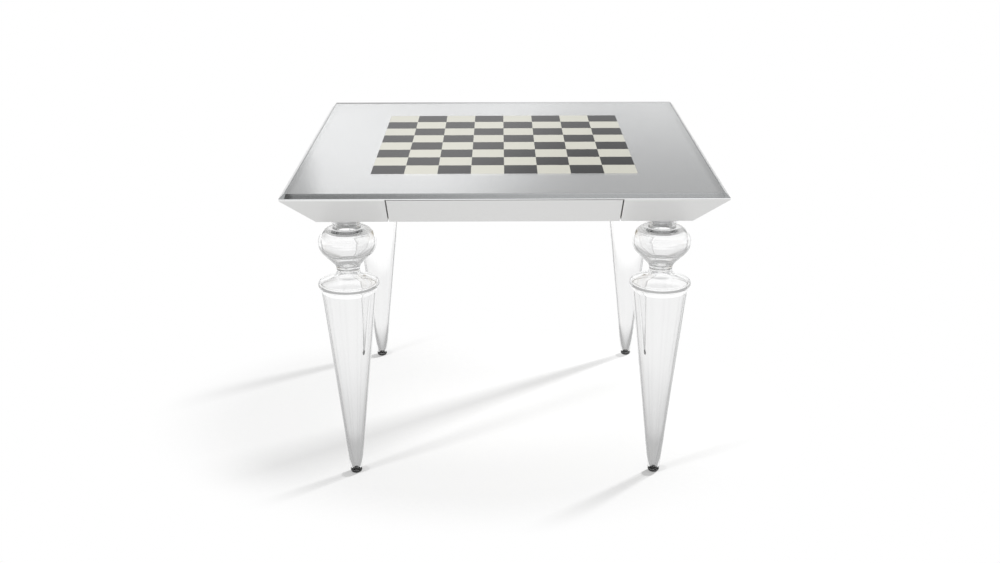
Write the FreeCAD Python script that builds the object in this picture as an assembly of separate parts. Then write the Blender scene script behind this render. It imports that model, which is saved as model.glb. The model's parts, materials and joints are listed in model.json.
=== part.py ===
import FreeCAD, Part

import math
import os

# A square chess table: a bevelled glass top over a silver panel and an inlaid board, a lacquered
# apron that slopes in to the underside, one drawer between the players, and four hollow legs of
# blown glass. Millimetres, +Z up. The drawer faces -Y, and the players sit at -X and +X.
# The origin is on the floor, under the middle of the top.

# Whole table
table_height = 750.0
top_side = 1000.0
leg_inset = 132.0  # from the edge of the top to a leg's axis
overrun = 50.0  # how far a cutting shape runs past what it cuts

# Glass top
glass_thickness = 10.0
bevel_width = 10.0
glass_edge_land = 1.0  # what the bevel leaves of the edge's height

# Silver panel, chess board and the board that carries them
panel_thickness = 2.0
squares_per_side = 8
board_border = 186.0  # silver between the edge of the top and the board
square_joint = 0.2
top_board_thickness = 18.0

# Apron
apron_drop = 72.0
apron_inset = 70.0  # how far the lower edge stands in from the upper one
apron_land = 2.5  # upright strip above the slope
apron_thickness = 18.0

# Underside
rail_thickness = 20.0
bottom_thickness = 12.0
corner_block_side = 96.0
corner_block_gap = 0.5  # to the rail and the apron beside the block
stop_rail_thickness = 20.0

# Drawer
drawer_front_inset = 237.5  # from the corner of the top to the end of the drawer's front
drawer_front_thickness = 16.0
drawer_side_gap = 3.0  # seam between the drawer front and the apron beside it
drawer_top_gap = 1.5
front_lap = 5.0  # how far the drawer front laps over each rail
drawer_wall = 12.0
drawer_floor_gap = 2.0  # from the table's underside up to the drawer's
drawer_head_gap = 6.0  # from the drawer's walls up to the top board
drawer_box_length = 410.0
drawer_bottom_thickness = 6.0
bottom_groove_depth = 6.0
bottom_groove_height = 5.0  # below the groove
groove_clearance = 0.1
lining_thickness = 1.5
lining_edge_gap = 0.5
finger_gap = 22.0  # at the drawer front's lower edge
glue_block_width = 40.0
glue_block_height = 18.0
glue_block_count = 3
glue_block_reach_share = 0.7  # outer block's place, as a share of half the drawer's inner width

# Drawer runners, three members each
runner_height = 35.0
runner_depth = 12.7
runner_sheet = 1.5
runner_clearance = 0.5
runner_setback = 8.0  # behind the drawer's inner front
runner_end_gap = 2.0  # short of the drawer's back
runner_lip = 1.0  # what a member's flanges stop short of the next member's web

# Rubber buffers behind the drawer
buffer_radius = 6.0
buffer_thickness = 4.0
buffer_gap = 0.3
buffer_place_share = 0.8  # of half the drawer's width

# Legs of blown glass
glass_wall = 6.5
stub_radius = 36.0
ball_radius = 68.5
ball_round = 36.0
ball_below_mouth = 55.5
neck_radius = 27.5
neck_bore_radius = 20.5
neck_below_mouth = 126.0  # to the middle of the neck's straight length
neck_length = 4.0  # its straight length
neck_fillet = 22.0  # between the ball's flank and the neck
collar_fillet = 12.5  # between the neck and the collar
rim_radius = 72.0
rim_round = 9.0
rim_below_mouth = 160.5
collar_overhang = 6.0  # of the rim past the top of the cone
cone_foot_radius = 14.0
solid_base = 40.0  # glass below the hollow
hollow_tip_length = 72.0  # where the hollow's side curves in
hollow_tip_radius = 2.5  # of the flat that the hollow ends in

# Feet
foot_height = 8.0
foot_flat_radius = 9.0
foot_bulge_shares = (0.25, 0.33)  # where the side's arc passes, of its draw-in and of its height

# Fixings at the top of each leg
plug_depth = 5.0  # into the leg's mouth
plug_flange_thickness = 5.0
plug_bond_gap = 0.3
stud_radius = 5.0
stud_clearance = 0.3
stud_length = 36.0  # above the flange
leg_plate_radius = 42.0
leg_plate_thickness = 5.0
insert_radius = 8.0
insert_length = 24.0
insert_clearance = 0.1
plate_screw_count = 3
plate_screw_pitch_radius = 30.0
plate_screw_radius = 2.0
plate_screw_length = 34.0
plate_screw_head_radius = 4.0
plate_screw_head_height = 2.5
screw_clearance = 0.1

# Levels and distances that follow
half_top = top_side / 2
square_side = (top_side - 2 * board_border) / squares_per_side
leg_place = half_top - leg_inset
glass_low = table_height - glass_thickness
apron_top = glass_low - panel_thickness
apron_bottom = apron_top - apron_drop
slope_rise = apron_drop - apron_land
top_board_low = apron_top - top_board_thickness
drawer_front_width = top_side - 2 * drawer_front_inset
bay_half = drawer_front_width / 2 + drawer_side_gap
rail_inner = drawer_front_width / 2 - front_lap
rail_outer = rail_inner + rail_thickness
box_half = rail_inner - runner_depth
drawer_low = apron_bottom + drawer_floor_gap
drawer_high = top_board_low - drawer_head_gap
runner_length = drawer_box_length - runner_setback - runner_end_gap
mouth_level = apron_bottom - leg_plate_thickness - plug_flange_thickness
corners = (("front_left", -1, -1), ("front_right", 1, -1), ("back_left", -1, 1), ("back_right", 1, 1))


def vector(x, y, z):
    return FreeCAD.Vector(x, y, z)


def box(x_low, x_high, y_low, y_high, z_low, z_high):
    return Part.makeBox(x_high - x_low, y_high - y_low, z_high - z_low, vector(x_low, y_low, z_low))


def along_y(outline, y_low, y_high):
    """A prism with its outline in X and Z."""
    points = [vector(x, y_low, z) for x, z in outline]
    return Part.Face(Part.makePolygon(points + points[:1])).extrude(vector(0, y_high - y_low, 0))


def along_x(outline, x_low, x_high):
    """A prism with its outline in Y and Z."""
    points = [vector(x_low, y, z) for y, z in outline]
    return Part.Face(Part.makePolygon(points + points[:1])).extrude(vector(x_high - x_low, 0, 0))


def cylinder(radius, x, y, z_low, z_high):
    return Part.makeCylinder(radius, z_high - z_low, vector(x, y, z_low))


def four_sided(half_outline):
    """A block whose four sides share one outline, given from its lowest to its highest point."""
    outline = [(-u, z) for u, z in half_outline] + [(u, z) for u, z in reversed(half_outline)]
    reach = max(u for u, z in half_outline)
    return along_y(outline, -reach, reach).common(along_x(outline, -reach, reach))


def slope_distance(z, depth):
    """How far from the table's middle the apron's slope lies at level z, at a depth below its face."""
    face = half_top - apron_inset * (apron_top - apron_land - z) / slope_rise
    return face - depth * math.hypot(apron_inset, slope_rise) / slope_rise


def inside_apron(z_low, z_high):
    """The space that the apron closes in between two levels."""
    low = slope_distance(z_low, apron_thickness)
    high = slope_distance(z_high, apron_thickness)
    return four_sided([(low, z_low), (high, z_high)])


def glass_top():
    return four_sided(
        [
            (half_top, glass_low),
            (half_top, glass_low + glass_edge_land),
            (half_top - bevel_width, table_height),
        ]
    )


def silver_panel():
    window = squares_per_side * square_side / 2
    panel = box(-half_top, half_top, -half_top, half_top, apron_top, glass_low)
    return panel.cut(box(-window, window, -window, window, apron_top - overrun, glass_low + overrun))


def board_squares(dark):
    """The inlaid squares of one colour. The front left corner is dark."""
    side = square_side - square_joint
    edge = squares_per_side * square_side / 2 - square_joint / 2
    squares = []
    for column in range(squares_per_side):
        for row in range(squares_per_side):
            if ((column + row) % 2 == 0) == dark:
                x = column * square_side - edge
                y = row * square_side - edge
                squares.append(box(x, x + side, y, y + side, apron_top, glass_low))
    return Part.makeCompound(squares)


def apron_outline(thickness, top):
    """The section of a sloping panel, as distance from the table's middle and height."""
    upper_inner = slope_distance(top, thickness)
    return [
        (half_top, top),
        (half_top, apron_top - apron_land),
        (half_top - apron_inset, apron_bottom),
        (slope_distance(apron_bottom, thickness), apron_bottom),
        (upper_inner, top),
    ]


def apron_side(direction):
    """The left or right panel, mitred at both ends."""
    outline = [(direction * u, z) for u, z in apron_outline(apron_thickness, apron_top)]
    reach = half_top + overrun
    corner = direction * reach
    mitre = Part.Face(
        Part.makePolygon(
            [
                vector(0, 0, apron_bottom),
                vector(corner, -reach, apron_bottom),
                vector(corner, reach, apron_bottom),
                vector(0, 0, apron_bottom),
            ]
        )
    ).extrude(vector(0, 0, apron_drop))
    return along_y(outline, -half_top, half_top).common(mitre)


def apron_end(direction):
    """The front or back panel, which is a side panel turned by a quarter."""
    panel = apron_side(1)
    panel.rotate(vector(0, 0, 0), vector(0, 0, 1), direction * 90)
    return panel


def apron_front(direction):
    """The front panel's length beside the drawer."""
    ends = sorted((direction * bay_half, direction * (half_top + overrun)))
    keep = box(ends[0], ends[1], -half_top - overrun, 0, apron_bottom - overrun, apron_top + overrun)
    return apron_end(-1).common(keep)


def rail(direction):
    """A beam beside the drawer, from the front panel's slope to the back panel's."""
    ends = sorted((direction * rail_inner, direction * rail_outer))
    low = slope_distance(apron_bottom, apron_thickness)
    high = slope_distance(top_board_low, apron_thickness)
    outline = [(-low, apron_bottom), (low, apron_bottom), (high, top_board_low), (-high, top_board_low)]
    return along_x(outline, ends[0], ends[1])


def drawer_back_place():
    return -slope_distance(apron_bottom, drawer_front_thickness) + finger_gap + drawer_box_length


def stop_rail():
    front = drawer_back_place() + buffer_gap + buffer_thickness
    back = front + stop_rail_thickness
    return box(-rail_inner, rail_inner, front, back, apron_bottom, top_board_low)


def leg_holes(x, y):
    """What a leg's stud and plate screws pass through, above the underside."""
    low = apron_bottom - overrun
    holes = cylinder(stud_radius + stud_clearance, x, y, low, stud_top() + stud_clearance)
    radius = plate_screw_radius + screw_clearance
    for screw_x, screw_y in plate_screw_places(x, y):
        holes = holes.fuse(cylinder(radius, screw_x, screw_y, low, screw_top() + screw_clearance))
    return holes


def bottom_panel(direction):
    """The closing panel beside one rail, under which two legs are fixed."""
    reach = half_top + overrun
    ends = sorted((direction * rail_outer, direction * reach))
    keep = box(ends[0], ends[1], -reach, reach, apron_bottom, apron_bottom + bottom_thickness)
    panel = inside_apron(apron_bottom, apron_bottom + bottom_thickness).common(keep)
    for y in (-leg_place, leg_place):
        panel = panel.cut(leg_holes(direction * leg_place, y))
    return panel


def bottom_back_panel():
    front = drawer_back_place() + buffer_gap + buffer_thickness + stop_rail_thickness
    top = apron_bottom + bottom_thickness
    keep = box(-rail_inner, rail_inner, front, half_top, apron_bottom, top)
    return inside_apron(apron_bottom, top).common(keep)


def corner_block(x, y):
    """The block over a leg, between the rail and the apron."""
    low = apron_bottom + bottom_thickness
    outer = slope_distance(low, apron_thickness) - corner_block_gap
    along = sorted((math.copysign(rail_outer + corner_block_gap, x), math.copysign(outer, x)))
    across = sorted((math.copysign(outer - corner_block_side, y), math.copysign(outer, y)))
    block = box(along[0], along[1], across[0], across[1], low, top_board_low)
    insert_hole = cylinder(insert_radius + insert_clearance, x, y, low, low + insert_length)
    return block.cut(insert_hole).cut(leg_holes(x, y))


def insert_nut(x, y):
    low = apron_bottom + bottom_thickness
    nut = cylinder(insert_radius, x, y, low, low + insert_length)
    return nut.cut(cylinder(stud_radius + insert_clearance, x, y, low, low + insert_length))


def plate_screw_places(x, y):
    turn = 2 * math.pi / plate_screw_count
    places = []
    for number in range(plate_screw_count):
        angle = number * turn + math.atan2(y, x)
        places.append(
            (x + plate_screw_pitch_radius * math.cos(angle), y + plate_screw_pitch_radius * math.sin(angle))
        )
    return places


def screw_low():
    return apron_bottom - leg_plate_thickness


def screw_top():
    return screw_low() + plate_screw_length


def stud_top():
    return mouth_level + plug_flange_thickness + stud_length


def countersunk(x, y, spare):
    """A countersunk screw's shape, or with spare the hole that takes it."""
    head = Part.makeCone(
        plate_screw_head_radius + spare,
        plate_screw_radius + spare,
        plate_screw_head_height,
        vector(x, y, screw_low()),
    )
    return head.fuse(cylinder(plate_screw_radius + spare, x, y, screw_low(), screw_top()))


def leg_plate(x, y):
    plate = cylinder(leg_plate_radius, x, y, screw_low(), apron_bottom)
    plate = plate.cut(cylinder(stud_radius + stud_clearance, x, y, screw_low(), apron_bottom))
    for screw_x, screw_y in plate_screw_places(x, y):
        plate = plate.cut(countersunk(screw_x, screw_y, screw_clearance))
    return plate


def turned(edges, x, y):
    """A solid turned about the upright line through x and y, from its half section at that line."""
    section = Part.Face(Part.Wire(Part.__sortEdges__(edges)))
    solid = section.revolve(vector(0, 0, 0), vector(0, 0, 1), 360)
    solid.translate(vector(x, y, 0))
    return solid


def lines(points):
    return [
        Part.makeLine(vector(r0, 0, z0), vector(r1, 0, z1))
        for (r0, z0), (r1, z1) in zip(points, points[1:])
    ]


def arc(centre, radius, start, end):
    """The arc about centre from angle start to angle end, with its middle angle halfway."""
    angles = (start, (start + end) / 2, end)
    spots = [vector(centre[0] + radius * math.cos(a), 0, centre[1] + radius * math.sin(a)) for a in angles]
    return Part.Arc(*spots).toShape()


def on_circle(centre, radius, angle):
    return (centre[0] + radius * math.cos(angle), centre[1] + radius * math.sin(angle))


def rim_end_angle():
    """Where the rim's round ends, at the top of the cone."""
    return -math.acos((rim_round - collar_overhang) / rim_round)


def cone_top_level():
    return mouth_level - rim_below_mouth + rim_round * math.sin(rim_end_angle())


def cone_radius(z):
    """The outer radius of the leg's tapering part at level z."""
    top_radius = rim_radius - collar_overhang
    share = (z - foot_height) / (cone_top_level() - foot_height)
    return cone_foot_radius + (top_radius - cone_foot_radius) * share


def rim_point(inset, angle):
    """A point on the rim's round, or at an inset within it."""
    centre = (rim_radius - rim_round, mouth_level - rim_below_mouth)
    return on_circle(centre, rim_round - inset, angle)


def touch_angle(first, second, radii, side):
    """Where the straight line that crosses between two rounds touches the first, seen from its centre.

    It touches the second half a turn further on. The radii are the rounds' sum, and the side, 1 or -1,
    picks one of the two such lines.
    """
    across = second[0] - first[0]
    rise = second[1] - first[1]
    return math.atan2(rise, across) + side * math.acos(radii / math.hypot(across, rise))


def leg_head(inset, neck, rim_end, top):
    """The half section of a leg, or of its hollow at an inset, from the axis at its top to its rim.

    A straight flank touches the ball's round and the neck's upper fillet. The collar's upper face is the
    straight line that touches the neck's lower fillet and the rim's round, which ends at rim_end.
    """
    stub = stub_radius - inset
    ball = ball_round - inset
    upper = neck_fillet + neck_radius - neck
    lower = collar_fillet + neck_radius - neck
    neck_level = mouth_level - neck_below_mouth
    ball_centre = (ball_radius - ball_round, mouth_level - ball_below_mouth)
    upper_centre = (neck + upper, neck_level + neck_length / 2)
    lower_centre = (neck + lower, neck_level - neck_length / 2)
    rim_centre = (rim_radius - rim_round, mouth_level - rim_below_mouth)
    stub_angle = math.acos((stub - ball_centre[0]) / ball)
    flank = touch_angle(ball_centre, upper_centre, ball + upper, 1)
    collar = touch_angle(lower_centre, rim_centre, lower + rim_round - inset, -1)
    flank_ends = [on_circle(ball_centre, ball, flank), on_circle(upper_centre, upper, flank + math.pi)]
    collar_ends = [on_circle(lower_centre, lower, collar), rim_point(inset, collar + math.pi)]
    return (
        lines([(0, top), (stub, top), on_circle(ball_centre, ball, stub_angle)])
        + [arc(ball_centre, ball, stub_angle, flank)]
        + lines(flank_ends)
        + [arc(upper_centre, upper, flank + math.pi, math.pi)]
        + lines([(neck, upper_centre[1]), (neck, lower_centre[1])])
        + [arc(lower_centre, lower, math.pi, collar + 2 * math.pi)]
        + lines(collar_ends)
        + [arc(rim_centre, rim_round - inset, collar + math.pi, rim_end)]
    )


def hollow_tip(start, end):
    """The arc in which the hollow's side, at its point start, leaves the cone and runs to its point end."""
    slope = (rim_radius - collar_overhang - cone_foot_radius) / (cone_top_level() - foot_height)
    lean = math.atan(slope)
    across = end[0] - start[0]
    rise = end[1] - start[1]
    reach = (across**2 + rise**2) / (2 * (rise * math.sin(lean) - across * math.cos(lean)))
    centre = (start[0] - reach * math.cos(lean), start[1] + reach * math.sin(lean))
    return arc(centre, reach, -lean, math.atan2(end[1] - centre[1], end[0] - centre[0]))


def leg_outside():
    """The half section of a leg's outer skin, closed along the axis."""
    outline = [rim_point(0, rim_end_angle()), (cone_foot_radius, foot_height), (0, foot_height), (0, mouth_level)]
    return leg_head(0, neck_radius, rim_end_angle(), mouth_level) + lines(outline)


def leg_hollow():
    """The half section of a leg's hollow, closed along the axis, with its open end above the mouth."""
    top = mouth_level + overrun
    base = foot_height + solid_base
    side = [(cone_radius(z) - glass_wall, z) for z in (cone_top_level(), base + hollow_tip_length)]
    tip = (hollow_tip_radius, base)
    head = leg_head(glass_wall, neck_bore_radius, -math.pi / 2, top)
    cone = lines([rim_point(glass_wall, -math.pi / 2)] + side)
    return head + cone + [hollow_tip(side[-1], tip)] + lines([tip, (0, base), (0, top)])


def leg_glass(x, y):
    return turned(leg_outside(), x, y).cut(turned(leg_hollow(), x, y))


def leg_plug(x, y):
    """The metal plug bonded in the leg's mouth, with the stud that holds the leg."""
    radius = stub_radius - glass_wall - plug_bond_gap
    flange_top = mouth_level + plug_flange_thickness
    section = [
        (0, mouth_level - plug_depth),
        (radius, mouth_level - plug_depth),
        (radius, mouth_level),
        (stub_radius, mouth_level),
        (stub_radius, flange_top),
        (stud_radius, flange_top),
        (stud_radius, stud_top()),
        (0, stud_top()),
        (0, mouth_level - plug_depth),
    ]
    return turned(lines(section), x, y)


def foot(x, y):
    """A black dome under the cone, with a small flat that meets the floor."""
    draw_in = cone_foot_radius - foot_flat_radius
    middle = (cone_foot_radius - foot_bulge_shares[0] * draw_in, foot_bulge_shares[1] * foot_height)
    side = Part.Arc(
        vector(cone_foot_radius, 0, foot_height),
        vector(middle[0], 0, middle[1]),
        vector(foot_flat_radius, 0, 0),
    ).toShape()
    edges = lines([(foot_flat_radius, 0), (0, 0), (0, foot_height), (cone_foot_radius, foot_height)])
    return turned(edges + [side], x, y)


def drawer_front():
    top = apron_top - drawer_top_gap
    outline = [(-u, z) for u, z in apron_outline(drawer_front_thickness, top)]
    return along_x(outline, -drawer_front_width / 2, drawer_front_width / 2)


def inner_front_face():
    return -slope_distance(apron_bottom, drawer_front_thickness) + finger_gap


def drawer_side(direction):
    """A side wall, cut to the front's slope and grooved for the bottom."""
    ends = sorted((direction * box_half, direction * (box_half - drawer_wall)))
    outline = [
        (-slope_distance(drawer_low, drawer_front_thickness), drawer_low),
        (drawer_back_place(), drawer_low),
        (drawer_back_place(), drawer_high),
        (-slope_distance(drawer_high, drawer_front_thickness), drawer_high),
    ]
    wall = along_x(outline, ends[0], ends[1])
    groove_end = box_half - drawer_wall + bottom_groove_depth
    groove_low = drawer_low + bottom_groove_height - groove_clearance
    groove_high = groove_low + drawer_bottom_thickness + 2 * groove_clearance
    reach = sorted((0, direction * groove_end))
    groove = box(reach[0], reach[1], inner_front_face(), drawer_back_place(), groove_low, groove_high)
    return wall.cut(groove)


def drawer_inner_front():
    half = box_half - drawer_wall
    front = inner_front_face()
    wall = box(-half, half, front, front + drawer_wall, drawer_low, drawer_high)
    groove_low = drawer_low + bottom_groove_height - groove_clearance
    groove_high = groove_low + drawer_bottom_thickness + 2 * groove_clearance
    back = front + drawer_wall
    return wall.cut(box(-half, half, back - bottom_groove_depth, back, groove_low, groove_high))


def drawer_back():
    """The back wall, which stands on the bottom panel."""
    half = box_half - drawer_wall
    low = drawer_low + bottom_groove_height + drawer_bottom_thickness
    return box(-half, half, drawer_back_place() - drawer_wall, drawer_back_place(), low, drawer_high)


def drawer_bottom():
    half = box_half - drawer_wall + bottom_groove_depth - groove_clearance
    front = inner_front_face() + drawer_wall - bottom_groove_depth + groove_clearance
    low = drawer_low + bottom_groove_height
    return box(-half, half, front, drawer_back_place(), low, low + drawer_bottom_thickness)


def drawer_lining():
    half = box_half - drawer_wall - lining_edge_gap
    front = inner_front_face() + drawer_wall + lining_edge_gap
    back = drawer_back_place() - drawer_wall - lining_edge_gap
    low = drawer_low + bottom_groove_height + drawer_bottom_thickness
    return box(-half, half, front, back, low, low + lining_thickness)


def drawer_glue_blocks():
    """Blocks that tie the sloping front to the drawer's inner front, above the finger gap."""
    low = drawer_high - glue_block_height
    back = inner_front_face()
    outline = [
        (-slope_distance(low, drawer_front_thickness), low),
        (back, low),
        (back, drawer_high),
        (-slope_distance(drawer_high, drawer_front_thickness), drawer_high),
    ]
    reach = glue_block_reach_share * (box_half - drawer_wall)
    step = 2 * reach / (glue_block_count - 1)
    blocks = []
    for number in range(glue_block_count):
        middle = number * step - reach
        blocks.append(along_x(outline, middle - glue_block_width / 2, middle + glue_block_width / 2))
    return Part.makeCompound(blocks)


def runner_member(direction, web, lip, height):
    """A channel along the drawer: its web's outer face and its flanges' ends, measured inwards
    from the rail, with its height outside."""
    start = inner_front_face() + runner_setback
    middle = (drawer_low + drawer_high) / 2
    inwards = 1 if lip > web else -1
    web_inner = web + inwards * runner_sheet
    outline = [
        (web, middle - height / 2),
        (lip, middle - height / 2),
        (lip, middle - height / 2 + runner_sheet),
        (web_inner, middle - height / 2 + runner_sheet),
        (web_inner, middle + height / 2 - runner_sheet),
        (lip, middle + height / 2 - runner_sheet),
        (lip, middle + height / 2),
        (web, middle + height / 2),
    ]
    placed = [(direction * (rail_inner - depth), z) for depth, z in outline]
    return along_y(placed, start, start + runner_length)


def runner_outer(direction):
    """The member that is screwed to the rail."""
    return runner_member(direction, 0, runner_depth - runner_clearance, runner_height)


def runner_middle(direction):
    """The member that runs out by half the drawer's travel."""
    web = runner_sheet + runner_clearance
    height = runner_height - 2 * (runner_sheet + runner_clearance)
    return runner_member(direction, web, runner_depth - runner_lip, height)


def runner_inner(direction):
    """The member that is screwed to the drawer's side."""
    height = runner_height - 4 * (runner_sheet + runner_clearance)
    lip = 2 * (runner_sheet + runner_clearance) + runner_lip
    return runner_member(direction, runner_depth, lip, height)


def drawer_buffers():
    """Two rubber discs on the stop rail, which the closed drawer meets."""
    front = drawer_back_place() + buffer_gap
    middle = (drawer_low + drawer_high) / 2
    discs = []
    for direction in (-1, 1):
        place = vector(direction * buffer_place_share * box_half, front, middle)
        discs.append(Part.makeCylinder(buffer_radius, buffer_thickness, place, vector(0, 1, 0)))
    return Part.makeCompound(discs)


def at_each_leg(make):
    return [make(x_sign * leg_place, y_sign * leg_place) for name, x_sign, y_sign in corners]


def plate_screws():
    screws = []
    for name, x_sign, y_sign in corners:
        for x, y in plate_screw_places(x_sign * leg_place, y_sign * leg_place):
            screws.append(countersunk(x, y, 0))
    return Part.makeCompound(screws)


def all_parts():
    parts = {
        "glass_top": glass_top(),
        "silver_panel": silver_panel(),
        "board_dark_squares": board_squares(True),
        "board_light_squares": board_squares(False),
        "top_board": inside_apron(top_board_low, apron_top),
        "apron_left": apron_side(-1),
        "apron_right": apron_side(1),
        "apron_back": apron_end(1),
        "apron_front_left": apron_front(-1),
        "apron_front_right": apron_front(1),
        "rail_left": rail(-1),
        "rail_right": rail(1),
        "stop_rail": stop_rail(),
        "bottom_panel_left": bottom_panel(-1),
        "bottom_panel_right": bottom_panel(1),
        "bottom_panel_back": bottom_back_panel(),
        "drawer_front": drawer_front(),
        "drawer_inner_front": drawer_inner_front(),
        "drawer_side_left": drawer_side(-1),
        "drawer_side_right": drawer_side(1),
        "drawer_back": drawer_back(),
        "drawer_bottom": drawer_bottom(),
        "drawer_lining": drawer_lining(),
        "drawer_glue_blocks": drawer_glue_blocks(),
        "drawer_buffers": drawer_buffers(),
        "plate_screws": plate_screws(),
        "leg_insert_nuts": Part.makeCompound(at_each_leg(insert_nut)),
    }
    for name, direction in (("left", -1), ("right", 1)):
        parts["runner_outer_" + name] = runner_outer(direction)
        parts["runner_middle_" + name] = runner_middle(direction)
        parts["runner_inner_" + name] = runner_inner(direction)
    for piece, make in (
        ("corner_block", corner_block),
        ("leg_plate", leg_plate),
        ("leg_plug", leg_plug),
        ("leg_glass", leg_glass),
        ("foot", foot),
    ):
        for (name, x_sign, y_sign), solid in zip(corners, at_each_leg(make)):
            parts[piece + "_" + name] = solid
    return parts


os.makedirs("parts", exist_ok=True)
for part_name, part_shape in all_parts().items():
    part_shape.exportStep("parts/" + part_name + ".step")
    print(part_name, len(part_shape.Solids), round(part_shape.Volume, 1), part_shape.isValid())
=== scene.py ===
"""A chess table: bevelled glass over silver and a board, a white apron with a drawer, blown glass legs.

Lengths are in metres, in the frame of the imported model: +Z up, -Y towards the drawer's side, the origin on
the floor under the middle of the top.
"""

import json
import logging
import math
from dataclasses import dataclass
from enum import Enum

import bmesh
import bpy
import numpy as np
from mathutils import Matrix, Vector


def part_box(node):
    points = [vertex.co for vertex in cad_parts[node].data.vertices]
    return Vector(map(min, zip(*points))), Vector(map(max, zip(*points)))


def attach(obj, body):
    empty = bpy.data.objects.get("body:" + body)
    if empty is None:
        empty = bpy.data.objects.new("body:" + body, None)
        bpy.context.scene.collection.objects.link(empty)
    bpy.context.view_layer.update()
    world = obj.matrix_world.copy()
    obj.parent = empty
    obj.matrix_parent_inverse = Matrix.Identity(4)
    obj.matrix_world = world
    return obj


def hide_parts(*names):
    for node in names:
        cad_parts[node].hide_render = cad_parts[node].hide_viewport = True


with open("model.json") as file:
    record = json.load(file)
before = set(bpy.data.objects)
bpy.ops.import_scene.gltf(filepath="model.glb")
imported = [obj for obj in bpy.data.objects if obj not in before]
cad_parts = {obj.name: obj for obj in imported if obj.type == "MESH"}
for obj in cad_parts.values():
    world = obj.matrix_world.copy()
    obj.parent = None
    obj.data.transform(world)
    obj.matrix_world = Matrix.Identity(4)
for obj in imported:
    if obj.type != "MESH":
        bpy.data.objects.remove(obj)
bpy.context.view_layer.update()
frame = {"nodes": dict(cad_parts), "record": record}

MM = 0.001
MERGE_REACH = 0.002 * MM
SAME_POINT_REACH = 0.001 * MM
POLE_FADE = 20 * MM
FLAT_ANGLE = math.radians(0.5)
EDGE_ANGLE = math.radians(25)
log = logging.getLogger("chess_table")

Colour = tuple[float, float, float, float]
Pair = tuple[float, float]
Given = "Value | float | tuple[float, ...]"

BODY_OF = {node: body for body, nodes in frame["record"]["behaviour"]["bodies"].items() for node in nodes}


def shown(red: float, green: float, blue: float) -> Colour:
    """The linear colour that a plain display shows as these values from 0 to 255.

    By the displays' standard curve a part up to 0.04045 is divided by 12.92, and a larger one becomes
    ((part + 0.055) / 1.055) to the power 2.4.

    Args:
        red, green, blue: the display values.

    Returns:
        The colour with an alpha of 1.
    """
    parts = np.array([red, green, blue]) / 255.0
    linear = np.where(parts <= 0.04045, parts / 12.92, ((parts + 0.055) / 1.055) ** 2.4)
    return (*linear.tolist(), 1.0)


def grey(level: float) -> Colour:
    """The grey of that linear level."""
    return (level, level, level, 1.0)


def darkened(colour: Colour, share: float) -> Colour:
    """The colour with its three parts multiplied by the share."""
    return (*(part * share for part in colour[:3]), 1.0)


class Ray(Enum):
    """The kinds of ray that a surface can tell apart."""

    CAMERA = "Is Camera Ray"
    SHADOW = "Is Shadow Ray"
    DIFFUSE = "Is Diffuse Ray"
    GLOSSY = "Is Glossy Ray"
    TRANSMISSION = "Is Transmission Ray"


class Grain(Enum):
    """The axis that a board's grain runs along."""

    X = 0
    Y = 1


@dataclass(frozen=True)
class Ramp:
    """A smooth step: to_low for values up to low, and to_high for values from high on."""

    low: float
    high: float
    to_low: float = 0.0
    to_high: float = 1.0


@dataclass(frozen=True)
class Noise:
    """A cloudy pattern of so many lumps to the metre, along the grain fewer by the stretch."""

    lumps: float
    detail: float = 2.0
    roughness: float = 0.5
    stretch: float = 1.0


class Working(Enum):
    """How a metal piece's surface was worked, with the pattern of its marks."""

    BRUSHED = Noise(1800.0, stretch=0.02)
    TURNED = Noise(1500.0)
    PLATED = Noise(160.0, detail=4.0, roughness=0.6)
    FROSTED = Noise(40.0)


class Value:
    """An output socket on which arithmetic adds Math nodes."""

    def __init__(self, shader: "Shader", socket: bpy.types.NodeSocket) -> None:
        """Wraps one socket of the shader's tree."""
        self.shader = shader
        self.socket = socket

    def math(self, operation: str, *others: Given) -> "Value":
        """This value and the others through one Math node."""
        sockets = dict(enumerate((self,) + others))
        return self.shader.value("Math", {"operation": operation}, sockets)

    def reflected(self, operation: str, other: Given) -> "Value":
        """The same with the other value first."""
        return self.shader.value("Math", {"operation": operation}, {0: other, 1: self})

    def __add__(self, other: Given) -> "Value":
        """Sum."""
        return self.math("ADD", other)

    def __radd__(self, other: Given) -> "Value":
        """Sum, the other value first."""
        return self.reflected("ADD", other)

    def __sub__(self, other: Given) -> "Value":
        """Difference."""
        return self.math("SUBTRACT", other)

    def __rsub__(self, other: Given) -> "Value":
        """Difference, the other value first."""
        return self.reflected("SUBTRACT", other)

    def __mul__(self, other: Given) -> "Value":
        """Product."""
        return self.math("MULTIPLY", other)

    def __rmul__(self, other: Given) -> "Value":
        """Product, the other value first."""
        return self.reflected("MULTIPLY", other)

    def __truediv__(self, other: Given) -> "Value":
        """Quotient."""
        return self.math("DIVIDE", other)

    def __pow__(self, other: Given) -> "Value":
        """Power."""
        return self.math("POWER", other)

    def __abs__(self) -> "Value":
        """Size without sign."""
        return self.math("ABSOLUTE")

    def ramp(self, step: Ramp) -> "Value":
        """This value through a smooth step."""
        sockets = {0: self, 1: step.low, 2: step.high, 3: step.to_low, 4: step.to_high}
        return self.shader.value("MapRange", {"interpolation_type": "SMOOTHSTEP"}, sockets)


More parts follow.
